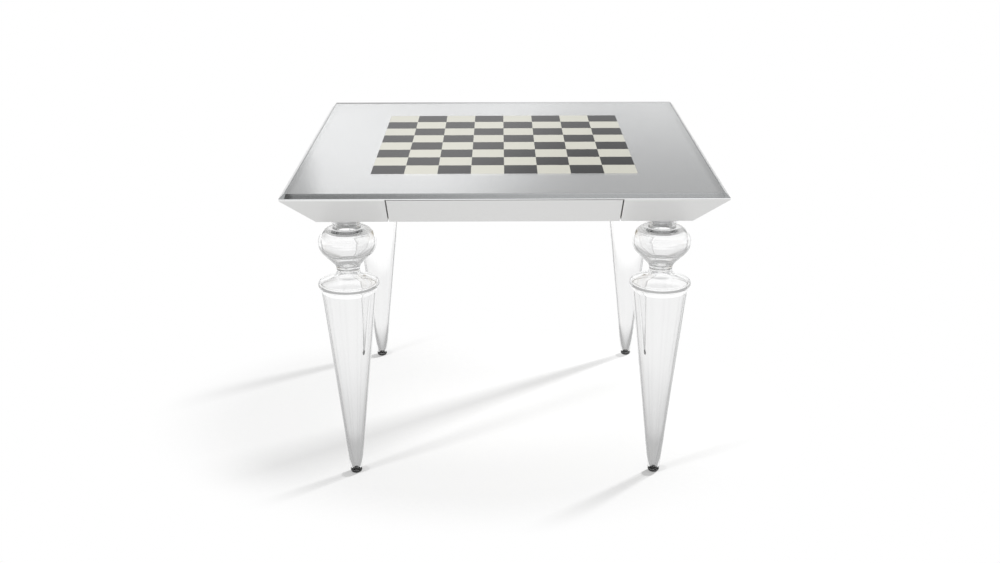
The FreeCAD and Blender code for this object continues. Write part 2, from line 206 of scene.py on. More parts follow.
class Shader:
    """The node tree of one material or of the world."""

    def __init__(self, tree: bpy.types.NodeTree) -> None:
        """Starts from an empty tree."""
        self.tree = tree
        tree.nodes.clear()

    def node(self, kind: str, settings: dict | None = None, sockets: dict | None = None) -> bpy.types.Node:
        """Makes a node.

        Args:
            kind: the node's type, without its prefix.
            settings: its own settings, set first.
            sockets: the value or link of each input, by name or number.

        Returns:
            The node.
        """
        made = self.tree.nodes.new("ShaderNode" + kind)
        for name, setting in (settings or {}).items():
            setattr(made, name, setting)
        for name, given in (sockets or {}).items():
            if isinstance(given, Value):
                self.tree.links.new(given.socket, made.inputs[name])
            else:
                made.inputs[name].default_value = given
        return made

    def value(self, kind: str, settings: dict | None = None, sockets: dict | None = None,
              output: int | str = 0) -> Value:
        """Makes a node and gives one of its outputs."""
        return Value(self, self.node(kind, settings, sockets).outputs[output])

    def ray(self, kind: Ray) -> Value:
        """1 for rays of that kind, otherwise 0."""
        return self.value("LightPath", output=kind.value)

    def place(self) -> Value:
        """The point on the piece, in metres."""
        return self.value("TexCoord", output="Object")

    def axes(self, point: Value) -> tuple[Value, Value, Value]:
        """The three coordinates of a point."""
        parts = self.node("SeparateXYZ", sockets={0: point})
        return (Value(self, parts.outputs[0]), Value(self, parts.outputs[1]), Value(self, parts.outputs[2]))

    def noise(self, point: Value, pattern: Noise, grain: Grain = Grain.Y) -> Value:
        """A pattern's value, from 0 to 1.

        Args:
            point: where it is read.
            pattern: the pattern.
            grain: the axis that its stretch applies to.

        Returns:
            The value.
        """
        if pattern.stretch != 1.0:
            scale = [1.0, 1.0, 1.0]
            scale[grain.value] = pattern.stretch
            point = self.value("Mapping", sockets={"Vector": point, "Scale": scale})
        sockets = {"Vector": point, "Scale": pattern.lumps, "Detail": pattern.detail,
                   "Roughness": pattern.roughness}
        return self.value("TexNoise", {"noise_dimensions": "3D"}, sockets)

    def blend(self, share: Given, first: Given, second: Given) -> Value:
        """A colour between two others."""
        return self.value("Mix", {"data_type": "RGBA"}, {0: share, 6: first, 7: second}, output=2)

    def bump(self, height: Value, depth: float) -> Value:
        """The normal of a surface raised by depth metres where the height is 1."""
        return self.value("Bump", sockets={"Height": height, "Distance": depth, "Strength": 1.0})

    def mixed(self, share: Given, first: Value, second: Value) -> Value:
        """A surface between two others."""
        return self.value("MixShader", sockets={0: share, 1: first, 2: second})

    def finish(self, **parts: Value) -> None:
        """Ends a material's tree with its Surface, and its Volume if it has one."""
        self.node("OutputMaterial", sockets=parts)


@dataclass(frozen=True)
class Finish:
    """A surface finish, which makes its material when it is first asked for."""

    name: str

    def sockets(self, shader: Shader) -> dict[str, Given]:
        """What the surface's sockets hold.

        Args:
            shader: the material's tree.

        Returns:
            The value or link of each socket.
        """
        raise NotImplementedError

    def fill(self, shader: Shader) -> None:
        """Fills the material's tree."""
        shader.finish(Surface=shader.value("BsdfPrincipled", sockets=self.sockets(shader)))

    def material(self) -> bpy.types.Material:
        """The finish's one material.

        Returns:
            The material, made now if no piece has asked for it before.
        """
        made = bpy.data.materials.get(self.name)
        if made is None:
            made = bpy.data.materials.new(self.name)
            made.use_nodes = True
            self.fill(Shader(made.node_tree))
        return made


@dataclass(frozen=True)
class Lacquer(Finish):
    """Sprayed satin lacquer: an even colour with slow changes of tone and gloss and a faint orange peel."""

    colour: Colour
    dark_share: float = 0.975
    cloud: Noise = Noise(5.0, detail=3.0)
    roughness: float = 0.3
    gloss: Noise = Noise(30.0)
    gloss_change: float = 0.08
    peel: Noise = Noise(650.0, detail=1.0)
    peel_depth: float = 0.012 * MM
    index: float = 1.5
    coat: float = 0.25
    coat_roughness: float = 0.12

    def sockets(self, shader: Shader) -> dict[str, Given]:
        """What the lacquer's sockets hold.

        Args:
            shader: the material's tree.

        Returns:
            The value or link of each socket.
        """
        point = shader.place()
        cloud = shader.noise(point, self.cloud)
        gloss = shader.noise(point, self.gloss) - 0.5
        return {
            "Base Color": shader.blend(cloud, darkened(self.colour, self.dark_share), self.colour),
            "Roughness": self.roughness + self.gloss_change * gloss,
            "Normal": shader.bump(shader.noise(point, self.peel), self.peel_depth),
            "IOR": self.index,
            "Coat Weight": self.coat,
            "Coat Roughness": self.coat_roughness,
        }


@dataclass(frozen=True)
class Timber(Finish):
    """Plain sawn or planed timber: streaks of two tones along the grain, with fine dark pores."""

    light: Colour
    dark: Colour
    grain: Grain
    roughness: float = 0.5
    coat: float = 0.0
    coat_roughness: float = 0.3
    streaks: Noise = Noise(22.0, detail=4.0, roughness=0.6, stretch=0.07)
    streak_tones: Ramp = Ramp(0.3, 0.7)
    rings: float = 9.0
    ring_share: float = 0.45
    pores: Noise = Noise(900.0, stretch=0.025)
    pore_edge: Ramp = Ramp(0.56, 0.7)
    pore_dark: float = 0.55
    pore_roughness: float = 0.15
    tone_relief: float = 0.3
    relief_depth: float = 0.08 * MM

    def sockets(self, shader: Shader) -> dict[str, Given]:
        """What the timber's sockets hold.

        Args:
            shader: the material's tree.

        Returns:
            The value or link of each socket.
        """
        point = shader.place()
        wander = shader.noise(point, self.streaks, self.grain)
        rings = (wander * self.rings).math("FRACT").math("PINGPONG", 0.5) * 2.0
        pores = shader.noise(point, self.pores, self.grain).ramp(self.pore_edge)
        tone = wander.ramp(self.streak_tones) * (1.0 - self.ring_share) + rings * self.ring_share
        ground = shader.blend(tone, self.dark, self.light)
        return {
            "Base Color": shader.blend(pores * self.pore_dark, ground, self.dark),
            "Roughness": self.roughness + self.pore_roughness * pores,
            "Normal": shader.bump(tone * self.tone_relief - pores, self.relief_depth),
            "Coat Weight": self.coat,
            "Coat Roughness": self.coat_roughness,
        }


@dataclass(frozen=True)
class Inlay(Finish):
    """A board square bonded under the glass: a plain tone, a little different from square to square."""

    colour: Colour
    dark_share: float
    square_share: float = 0.6
    fibres: Noise = Noise(700.0, detail=3.0, stretch=0.06)
    roughness: float = 0.42
    fibre_roughness: float = 0.1
    specular: float = 0.1

    def sockets(self, shader: Shader) -> dict[str, Given]:
        """What the inlay's sockets hold.

        Args:
            shader: the material's tree.

        Returns:
            The value or link of each socket.
        """
        point = shader.place()
        side = board_square_side()
        across, along, _ = shader.axes(point)
        square = {0: (across / side).math("FLOOR"), 1: (along / side).math("FLOOR")}
        corner = shader.value("CombineXYZ", sockets=square)
        lot = shader.value("TexWhiteNoise", {"noise_dimensions": "2D"}, {"Vector": corner})
        fibre = shader.noise(point, self.fibres)
        tone = lot * self.square_share + fibre * (1.0 - self.square_share)
        return {
            "Base Color": shader.blend(tone, darkened(self.colour, self.dark_share), self.colour),
            "Roughness": self.roughness + self.fibre_roughness * fibre,
            "Specular IOR Level": self.specular,
        }


@dataclass(frozen=True)
class Silvering(Finish):
    """The silver layer under the glass: a mirror with a slight milky part, which is less near its edge."""

    colour: Colour
    mirror_share: float = 0.86
    clear_share: float = 0.98
    clear_edge: float = 30 * MM
    cloud: Noise = Noise(3.0, detail=3.0)
    cloud_mirror: float = 0.02
    roughness: float = 0.02
    cloud_roughness: float = 0.02
    grain: Noise = Noise(2400.0, detail=1.0)
    grain_depth: float = 0.0004 * MM

    def sockets(self, shader: Shader) -> dict[str, Given]:
        """What the silver's sockets hold.

        Args:
            shader: the material's tree.

        Returns:
            The value or link of each socket.
        """
        point = shader.place()
        cloud = shader.noise(point, self.cloud)
        across, along, _ = shader.axes(point)
        out = abs(across).math("MAXIMUM", abs(along))
        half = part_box("silver_panel")[1][0]
        gain = self.clear_share - self.mirror_share
        clear = out.ramp(Ramp(half - self.clear_edge, half - self.clear_edge / 2, to_high=gain))
        return {
            "Base Color": self.colour,
            "Metallic": self.mirror_share + self.cloud_mirror * cloud + clear,
            "Roughness": self.roughness + self.cloud_roughness * cloud,
            "Normal": shader.bump(shader.noise(point, self.grain), self.grain_depth),
        }


@dataclass(frozen=True)
class Glass(Finish):
    """Clear glass that takes a little light along its thickness. Lamps and soft light pass through it.

    A ray that has met more surfaces than most_bounces is taken as trapped, and passes straight out.
    """

    passing: float
    absorbed: Colour
    density: float
    haze: float = 0.0
    most_bounces: float = 10.0
    haze_cloud: Noise = Noise(8.0, detail=4.0)
    haze_edge: Ramp = Ramp(0.45, 0.8)
    index: float = 1.5

    def sockets(self, shader: Shader) -> dict[str, Given]:
        """What the glass's sockets hold.

        Args:
            shader: the material's tree.

        Returns:
            The value or link of each socket.
        """
        patches = shader.noise(shader.place(), self.haze_cloud).ramp(self.haze_edge)
        return {
            "Base Color": grey(1.0),
            "Roughness": self.haze * patches,
            "IOR": self.index,
            "Transmission Weight": 1.0,
        }

    def fill(self, shader: Shader) -> None:
        """Fills the material's tree: glass, open air for the rays that pass, and the light it takes.

        Args:
            shader: the material's tree.
        """
        glass = shader.value("BsdfPrincipled", sockets=self.sockets(shader))
        open_air = shader.value("BsdfTransparent", sockets={"Color": grey(self.passing)})
        lamp_or_soft = shader.ray(Ray.SHADOW).math("MAXIMUM", shader.ray(Ray.DIFFUSE))
        trapped = shader.value("LightPath", output="Ray Depth").math("GREATER_THAN", self.most_bounces)
        surface = shader.mixed(lamp_or_soft.math("MAXIMUM", trapped), glass, open_air)
        volume = shader.value("VolumeAbsorption", sockets={"Color": self.absorbed, "Density": self.density})
        shader.finish(Surface=surface, Volume=volume)


@dataclass(frozen=True)
class Metal(Finish):
    """A bare or plated metal, with the marks of how it was worked."""

    colour: Colour
    working: Working
    roughness: float
    bare_share: float = 1.0
    dark_share: float = 0.86
    mark_roughness: float = 0.12
    mark_depth: float = 0.008 * MM

    def marks(self, shader: Shader) -> Value:
        """The marks of the work: lines along X, rings round each leg, or a cloud.

        Args:
            shader: the material's tree.

        Returns:
            Their pattern, from 0 to 1.
        """
        point = shader.place()
        if self.working is Working.TURNED:
            across, along, _ = shader.axes(point)
            axis_x, axis_y = leg_axis()
            out = ((abs(across) - axis_x) ** 2.0 + (abs(along) - axis_y) ** 2.0).math("SQRT")
            point = shader.value("CombineXYZ", sockets={0: out})
        return shader.noise(point, self.working.value, Grain.X)

    def sockets(self, shader: Shader) -> dict[str, Given]:
        """What the metal's sockets hold.

        Args:
            shader: the material's tree.

        Returns:
            The value or link of each socket.
        """
        marks = self.marks(shader)
        return {
            "Base Color": shader.blend(marks, darkened(self.colour, self.dark_share), self.colour),
            "Metallic": self.bare_share,
            "Roughness": self.roughness + self.mark_roughness * self.roughness * marks,
            "Normal": shader.bump(marks, self.mark_depth),
        }


@dataclass(frozen=True)
class Rubber(Finish):
    """Moulded black rubber: satin, a little grey where it is dusty."""

    colour: Colour
    dust: Noise = Noise(180.0, detail=4.0, roughness=0.6)
    dust_edge: Ramp = Ramp(0.5, 0.8)
    dust_gain: float = 0.03
    roughness: float = 0.38
    dust_roughness: float = 0.2
    grain: Noise = Noise(1500.0)
    grain_depth: float = 0.02 * MM

    def sockets(self, shader: Shader) -> dict[str, Given]:
        """What the rubber's sockets hold.

        Args:
            shader: the material's tree.

        Returns:
            The value or link of each socket.
        """
        point = shader.place()
        dust = shader.noise(point, self.dust).ramp(self.dust_edge)
        dusty = (*(part + self.dust_gain for part in self.colour[:3]), 1.0)
        return {
            "Base Color": shader.blend(dust, self.colour, dusty),
            "Roughness": self.roughness + self.dust_roughness * dust,
            "Normal": shader.bump(shader.noise(point, self.grain), self.grain_depth),
        }


@dataclass(frozen=True)
class Felt(Finish):
    """Short nap felt: tangled fibres, with a soft sheen at a low angle."""

    colour: Colour
    tip: Colour
    fibres: Noise = Noise(1200.0, detail=4.0, roughness=0.7)
    nap: Noise = Noise(26.0, stretch=0.25)
    nap_share: float = 0.35
    roughness: float = 0.92
    fibre_roughness: float = 0.06
    fibre_depth: float = 0.4 * MM
    specular: float = 0.1
    sheen: float = 0.35
    sheen_roughness: float = 0.5

    def sockets(self, shader: Shader) -> dict[str, Given]:
        """What the felt's sockets hold.

        Args:
            shader: the material's tree.

        Returns:
            The value or link of each socket.
        """
        point = shader.place()
        tangle = shader.noise(point, self.fibres)
        tone = tangle * (1.0 - self.nap_share) + shader.noise(point, self.nap) * self.nap_share
        return {
            "Base Color": shader.blend(tone, self.colour, self.tip),
            "Roughness": self.roughness + self.fibre_roughness * tangle,
            "Normal": shader.bump(tangle, self.fibre_depth),
            "Specular IOR Level": self.specular,
            "Sheen Weight": self.sheen,
            "Sheen Roughness": self.sheen_roughness,
        }


MAPLE = {"light": shown(206, 196, 178), "dark": shown(182, 170, 148), "coat": 0.15}
BIRCH = {"light": shown(190, 178, 158), "dark": shown(160, 146, 124), "roughness": 0.62}
STEEL_COLOUR = (0.60, 0.61, 0.62, 1.0)

WHITE_LACQUER = Lacquer("satin white lacquer", shown(231, 231, 230))
MAPLE_ALONG_X = Timber("pale maple along x", grain=Grain.X, **MAPLE)
MAPLE_ALONG_Y = Timber("pale maple along y", grain=Grain.Y, **MAPLE)
BIRCH_ALONG_X = Timber("sawn birch along x", grain=Grain.X, **BIRCH)
BIRCH_ALONG_Y = Timber("sawn birch along y", grain=Grain.Y, **BIRCH)
DARK_INLAY = Inlay("dark grey inlay", shown(38, 38, 40), dark_share=0.75)
LIGHT_INLAY = Inlay("cream inlay", shown(219, 217, 204), dark_share=0.95)
SILVER = Silvering("mirror silvering", (0.92, 0.925, 0.93, 1.0))
PLATE_GLASS = Glass("clear plate glass", passing=0.97, absorbed=(0.1, 0.14, 0.15, 1.0), density=4.0,
                    haze=0.006, most_bounces=3.0)
BLOWN_GLASS = Glass("clear blown glass", passing=0.85, absorbed=(0.1, 0.12, 0.12, 1.0), density=4.0)
RUNNER_ZINC = Metal("zinc plated sheet", (0.63, 0.64, 0.66, 1.0), Working.PLATED, roughness=0.3)
TURNED_STEEL = Metal("turned steel", STEEL_COLOUR, Working.TURNED, roughness=0.28)
BRUSHED_STEEL = Metal("brushed steel", STEEL_COLOUR, Working.BRUSHED, roughness=0.3)
FROSTED_METAL = Metal("frosted aluminium", (0.86, 0.865, 0.87, 1.0), Working.FROSTED, roughness=0.4,
                      bare_share=0.3)
TURNED_BRASS = Metal("turned brass", (0.78, 0.58, 0.26, 1.0), Working.TURNED, roughness=0.25)
BLACK_RUBBER = Rubber("moulded black rubber", (0.012, 0.012, 0.013, 1.0))
LINING_FELT = Felt("charcoal felt", shown(38, 38, 41), shown(88, 88, 92))


def leg_axis() -> tuple[float, float]:
    """How far each leg's axis stands from the middle, along X and Y."""
    low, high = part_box("leg_glass_front_right")
    return (low[0] + high[0]) / 2, abs(low[1] + high[1]) / 2


def board_square_side() -> float:
    """One square's side: an eighth of the board, which the silver panel's window holds."""
    low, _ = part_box("board_dark_squares")
    return abs(low[0]) / 4


def dress(node: str, finish: Finish) -> None:
    """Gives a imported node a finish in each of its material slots.

    Args:
        node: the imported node.
        finish: its finish.
    """
    for slot in frame["nodes"][node].material_slots:
        slot.material = finish.material()
    log.info("%s: packed mesh in %s", node, finish.name)


def piece_from(name: str, points: np.ndarray, faces: list, finish: Finish, smooth: bool) -> bpy.types.Object:
    """Makes a piece whose place is in its mesh.

    Args:
        name: the piece's name.
        points: its vertices, one row each.
        faces: lists of vertex numbers, counter-clockwise from outside.
        finish: the finish of all its faces.
        smooth: whether the faces are shaded as one smooth surface.

    Returns:
        The piece, linked to the scene.
    """
    mesh = bpy.data.meshes.new(name)
    mesh.from_pydata(points.tolist(), [], faces)
    mesh.polygons.foreach_set("use_smooth", np.full(len(mesh.polygons), smooth))
    mesh.materials.append(finish.material())
    mesh.update()
    piece = bpy.data.objects.new(name, mesh)
    bpy.context.scene.collection.objects.link(piece)
    return piece


def stand_in(piece: bpy.types.Object, *nodes: str) -> None:
    """The piece stands for these nodes: it rides on their body, and they are hidden.

    Args:
        piece: the new piece.
        nodes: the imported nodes, all on one body.
    """
    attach(piece, BODY_OF[nodes[0]])
    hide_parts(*nodes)
    log.info("%s: new piece for %s, %d faces", piece.name, ", ".join(nodes), len(piece.data.polygons))


def eased(node: str, finish: Finish, easing: float) -> None:
    """Replaces a flat-sided node by a copy whose mesh is merged and rounded along every edge.

    Args:
        node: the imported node.
        finish: the piece's finish.
        easing: the width of the rounding.
    """
    source = frame["nodes"][node]
    work = bmesh.new()
    work.from_mesh(source.data)
    work.transform(source.matrix_world)
    bmesh.ops.remove_doubles(work, verts=work.verts, dist=MERGE_REACH)
    bmesh.ops.dissolve_limit(work, angle_limit=FLAT_ANGLE, verts=work.verts, edges=work.edges)
    points = np.array([vertex.co for vertex in work.verts])
    faces = [[vertex.index for vertex in face.verts] for face in work.faces]
    work.free()
    piece = piece_from("eased_" + node, points, faces, finish, smooth=False)
    rounding = piece.modifiers.new("eased edges", "BEVEL")
    rounding.width = easing
    rounding.segments = 2
    rounding.limit_method = "ANGLE"
    rounding.angle_limit = EDGE_ANGLE
    stand_in(piece, node)


class Outline:
    """A half section drawn from point to point in straight runs and arcs, as (radius, height) pairs."""

    def __init__(self, start: Pair) -> None:
        """Starts at a point."""
        self.parts = [np.array([start])]

    def line(self, end: Pair, step: float) -> "Outline":
        """Adds a straight run, whose points are start + share * (end - start).

        Args:
            end: the point where it ends.
            step: about how far apart its points are.

        Returns:
            The outline.
        """
        start = self.parts[-1][-1]
        count = max(1, math.ceil(math.dist(start, end) / step))
        share = np.linspace(0, 1, count + 1)[1:, None]
        self.parts.append(start + share * (np.array(end) - start))
        return self

    def arc(self, centre: Pair, radius: float, start: float, end: float, step: float) -> "Outline":
        """Adds an arc, whose points are centre + radius * (cos angle, sin angle).

        Args:
            centre, radius: those of its circle.
            start, end: the angles that it goes from and to.
            step: about how far apart its points are.

        Returns:
            The outline.
        """
        count = max(2, math.ceil(radius * abs(end - start) / step))
        angle = np.linspace(start, end, count + 1)
        points = np.stack([centre[0] + radius * np.cos(angle), centre[1] + radius * np.sin(angle)], axis=1)
        known = np.linalg.norm(points[0] - self.parts[-1][-1]) < SAME_POINT_REACH
        self.parts.append(points[1:] if known else points)
        return self

    def points(self) -> np.ndarray:
        """All points in order, one row each."""
        return np.concatenate(self.parts)


@dataclass
class Unevenness:
    """How far a blown skin stands off its true form: a few slow waves round it and along it."""

    seed: int
    depth: float
    waves: int = 9
    most_around: int = 8
    most_along: float = 9.0

    def at(self, angle: np.ndarray, height: np.ndarray) -> np.ndarray:
        """The offset at each angle and height.

        It is the depth times a sum of cosines, each with a whole number of waves round the skin, a
        number of waves to the metre along it, a phase and a weight, divided by the sum of the weights.

        Args:
            angle, height: the places, as arrays that broadcast together.

        Returns:
            The offsets, in the shape that they broadcast to.
        """
        draw = np.random.default_rng(self.seed)
        total = np.zeros(np.broadcast(angle, height).shape)
        weights = 0.0
        for _ in range(self.waves):
            around = draw.integers(1, self.most_around + 1)
            along = draw.uniform(-self.most_along, self.most_along)
            phase = draw.uniform(0, 2 * math.pi)
            weight = 1.0 / around
            total += weight * np.cos(around * angle + 2 * math.pi * along * height + phase)
            weights += weight
        return self.depth * total / weights


Skin = tuple[np.ndarray, Unevenness]


def bands(rows: int, columns: int) -> np.ndarray:
    """The four-sided faces between closed rows of points that are numbered row after row.

    Args:
        rows: how many rows there are.
        columns: how many points lie round each row.

    Returns:
        The faces' vertex numbers: a point, its neighbour in the row, and the two of the next row.
    """
    column = np.arange(columns)
    following = (column + 1) % columns
    base = np.arange(rows - 1)[:, None] * columns
    corners = (base + column, base + following, base + columns + following, base + columns + column)
    return np.stack(np.broadcast_arrays(*corners), axis=2).reshape(-1, 4)


def shell(skins: list[Skin], centre: Pair, columns: int) -> tuple[np.ndarray, list[np.ndarray]]:
    """One closed skin of revolution: the skins' rows, one after the other, from pole to pole.

    A point is the centre plus (row radius + unevenness) * (cos angle, sin angle), at the row's height.
    The unevenness fades out towards the axis. The faces look away from the axis where the rows go up,
    and towards it where they go down.

    Args:
        skins: (radius, height) rows without the poles, and how uneven each skin is.
        centre: the axis's place.
        columns: how many points lie round each row.

    Returns:
        The points, and the faces in blocks: four-sided ones, then three-sided ones at either pole.
    """
    angle = np.arange(columns) * 2 * math.pi / columns
    rings = []
    for rows, unevenness in skins:
        radius, height = rows[:, :1], rows[:, 1:]
        fade = np.clip(radius / POLE_FADE, 0, 1)
        reach = radius + fade * unevenness.at(angle[None, :], height)
        ring = np.stack([centre[0] + reach * np.cos(angle), centre[1] + reach * np.sin(angle),
                         np.broadcast_to(height, reach.shape)], axis=2)
        rings.append(ring.reshape(-1, 3))
    heights = (skins[0][0][0, 1], skins[-1][0][-1, 1])
    poles = np.array([[centre[0], centre[1], height] for height in heights])
    points = np.concatenate(rings + [poles])
    rows = (len(points) - 2) // columns
    column = np.arange(columns)
    following = (column + 1) % columns
    first_pole, last_pole = len(points) - 2, len(points) - 1
    last = (rows - 1) * columns
    low_fan = np.stack([np.full(columns, first_pole), following, column], axis=1)
    high_fan = np.stack([last + column, last + following, np.full(columns, last_pole)], axis=1)
    return points, [bands(rows, columns), low_fan, high_fan]


@dataclass
class GlassLeg:
    """One blown leg: stub, hollow ball, solid neck and collar with its rim, and the long hollow cone."""

    corner: str
    seed: int
    wall: float = 6.5 * MM
    mouth_reach: float = 36 * MM
    mouth_drop: float = 6 * MM
    stub: float = 32 * MM
    stub_drop: float = 13 * MM
    ball_reach: float = 69 * MM
    ball_top_round: float = 32.5 * MM
    ball_round: float = 36 * MM
    ball_drop: float = 54 * MM
    ball_belt: float = 3.5 * MM
    bubble_top_round: float = 23 * MM
    bubble_drop: float = 112.5 * MM
    bubble_ease: float = 3 * MM
    neck: float = 27.5 * MM
    neck_bore: float = 20.5 * MM
    neck_drop: float = 126 * MM
    neck_length: float = 4 * MM
    neck_fillet: float = 22 * MM
    collar_fillet: float = 12.5 * MM
    rim_reach: float = 72 * MM
    rim_round: float = 9 * MM
    rim_drop: float = 160.5 * MM
    rim_overhang: float = 6 * MM
    hollow_drop: float = 121 * MM
    hollow_round: float = 6 * MM
    cone_wall: float = 4.5 * MM
    cone_foot: float = 14 * MM
    solid_base: float = 4 * MM
    tip_length: float = 96 * MM
    tip_end: float = 5.5 * MM
    tip_reach: float = 0.4 * MM
    lip_round: float = 1.6 * MM
    fine_step: float = 1.8 * MM
    coarse_step: float = 9 * MM
    columns: int = 160
    outer_depth: float = 0.06 * MM
    inner_depth: float = 0.14 * MM
    inner_seed: int = 50

    def __post_init__(self) -> None:
        """Reads the leg's axis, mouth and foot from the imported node, and places its rounds.

        The ball's straight flank leaves the ball's round at the angle flank and touches the neck's upper
        fillet. The cone starts where the rim's round, drawn in by the overhang, turns under.
        """
        low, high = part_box("leg_glass_" + self.corner)
        self.centre = ((low[0] + high[0]) / 2, (low[1] + high[1]) / 2)
        self.mouth, self.base = high[2], low[2]
        self.ball_level = self.mouth - self.ball_drop
        self.ball_middle = (self.ball_reach - self.ball_round, self.ball_level - self.ball_belt)
        neck_level = self.mouth - self.neck_drop
        self.upper_middle = (self.neck + self.neck_fillet, neck_level + self.neck_length / 2)
        self.lower_level = neck_level - self.neck_length / 2
        self.flank = self.touch(self.ball_middle, self.upper_middle, self.ball_round + self.neck_fillet, 1)
        self.rim_middle = (self.rim_reach - self.rim_round, self.mouth - self.rim_drop)
        cone_reach = self.rim_reach - self.rim_overhang
        rim_fall = math.sqrt(self.rim_round ** 2 - (cone_reach - self.rim_middle[0]) ** 2)
        self.cone_top = (cone_reach, self.rim_middle[1] - rim_fall)

    @staticmethod
    def touch(first: Pair, second: Pair, radii: float, side: int) -> float:
        """Where a line that crosses between two rounds and touches both leaves the first.

        It leaves it in the direction of the second centre, turned by the arc cosine of the radii's sum
        over the centres' distance, and it meets the second round in the opposite direction.

        Args:
            first, second: the rounds' centres.
            radii: the sum of their radii.
            side: 1 or -1, for the turn's sense.

        Returns:
            The direction from the first centre, as an angle.
        """
        across, rise = second[0] - first[0], second[1] - first[1]
        return math.atan2(rise, across) + side * math.acos(radii / math.hypot(across, rise))

    def shoulder(self, inset: float, top: float) -> Outline:
        """A skin from the mouth down the stub, out over the ball's top and round its shoulder.

        Args:
            inset: how far inside the outer skin it is.
            top: the shoulder's radius.

        Returns:
            The outline so far, down to the ball's belt.
        """
        step = self.fine_step
        reach, stub = self.mouth_reach - inset, self.stub - inset
        middle = self.ball_reach - inset - top
        return (Outline((reach, self.mouth - self.lip_round))
                .line((reach, self.mouth - self.mouth_drop), step)
                .line((stub, self.mouth - self.stub_drop), step)
                .line((stub, self.ball_level + top), step)
                .line((middle, self.ball_level + top), step)
                .arc((middle, self.ball_level), top, math.pi / 2, 0, step)
                .line((middle + top, self.ball_level - self.ball_belt), step))

    def outside(self) -> np.ndarray:
        """The outer skin from the lip down to the foot, whose collar has a straight face.

        Returns:
            Its rows.
        """
        step = self.fine_step
        lower_middle = (self.neck + self.collar_fillet, self.lower_level)
        collar = self.touch(lower_middle, self.rim_middle, self.collar_fillet + self.rim_round, -1)
        rim_end = -math.acos((self.cone_top[0] - self.rim_middle[0]) / self.rim_round)
        toe = (self.cone_foot - self.lip_round, self.base + self.lip_round)
        return (self.shoulder(0.0, self.ball_top_round)
                .arc(self.ball_middle, self.ball_round, 0, self.flank, step)
                .arc(self.upper_middle, self.neck_fillet, self.flank + math.pi, math.pi, step)
                .arc(lower_middle, self.collar_fillet, math.pi, collar + 2 * math.pi, step)
                .arc(self.rim_middle, self.rim_round, collar + math.pi, rim_end, step)
                .line((self.cone_foot, toe[1]), self.coarse_step)
                .arc(toe, self.lip_round, 0, -math.pi / 2, step / 3)).points()

    def bubble(self) -> np.ndarray:
        """The ball's hollow from the lip down to its floor: the outer skin's rounds inset by the wall.

        Returns:
            Its rows.
        """
        step = self.fine_step
        fillet = self.neck_fillet + self.wall
        floor = self.mouth - self.bubble_drop
        low_angle = math.pi - math.asin((floor + self.bubble_ease - self.upper_middle[1]) / fillet)
        low_reach = self.upper_middle[0] + fillet * math.cos(low_angle)
        return (self.shoulder(self.wall, self.bubble_top_round)
                .arc(self.ball_middle, self.ball_round - self.wall, 0, self.flank, step)
                .arc(self.upper_middle, fillet, self.flank + math.pi, low_angle, step)
                .line((low_reach - self.bubble_ease, floor), step / 2)
                .line((self.tip_reach, floor), step)).points()

    def hollow(self) -> np.ndarray:
        """The cone's hollow from its ceiling in the neck, under the collar and down to its blunt end.

        It narrows to that end in an arc, which leaves the cone's side at its lean. The arc's radius is
        the squared distance of its ends over twice (rise * sin lean - across * cos lean).

        Returns:
            Its rows.
        """
        top = self.cone_top
        side = top[0] - self.cone_wall
        lean = math.atan((top[0] - self.cone_foot) / (top[1] - self.base))
        tip = (self.tip_end, self.base + self.solid_base)
        level = tip[1] + self.tip_length
        start = (self.cone_foot + (level - self.base) * math.tan(lean) - self.cone_wall, level)
        across, rise = tip[0] - start[0], tip[1] - start[1]
        reach = (across ** 2 + rise ** 2) / (2 * (rise * math.sin(lean) - across * math.cos(lean)))
        middle = (start[0] - reach * math.cos(lean), start[1] + reach * math.sin(lean))
        ceiling = self.mouth - self.hollow_drop
        bend = self.hollow_round
        fillet = self.collar_fillet + self.neck - self.neck_bore
        rim = self.rim_round - self.wall
        neck_middle = (self.neck_bore + fillet, self.lower_level)
        collar = self.touch(neck_middle, self.rim_middle, fillet + rim, -1)
        return (Outline((self.tip_reach, ceiling))
                .line((self.neck_bore - bend, ceiling), self.fine_step)
                .arc((self.neck_bore - bend, ceiling - bend), bend, math.pi / 2, 0, self.fine_step)
                .arc(neck_middle, fillet, math.pi, collar + 2 * math.pi, self.fine_step)
                .arc(self.rim_middle, rim, collar + math.pi, 0, self.fine_step / 2)
                .line((side, top[1]), self.fine_step)
                .line(start, self.coarse_step)
                .arc(middle, reach, -lean, math.atan2(tip[1] - middle[1], tip[0] - middle[0]),
                     2 * self.fine_step)
                .line((self.tip_reach, tip[1]), self.fine_step)).points()

    def lip(self) -> np.ndarray:
        """The lip's round, from the outside over the top to the inside.

        Returns:
            Its rows.
        """
        level = self.mouth - self.lip_round
        step = self.fine_step / 3
        outer_middle = (self.mouth_reach - self.lip_round, level)
        inner_middle = (self.mouth_reach - self.wall + self.lip_round, level)
        return (Outline((self.mouth_reach, level))
                .arc(outer_middle, self.lip_round, 0, math.pi / 2, step)
                .arc(inner_middle, self.lip_round, math.pi / 2, math.pi, step)).points()

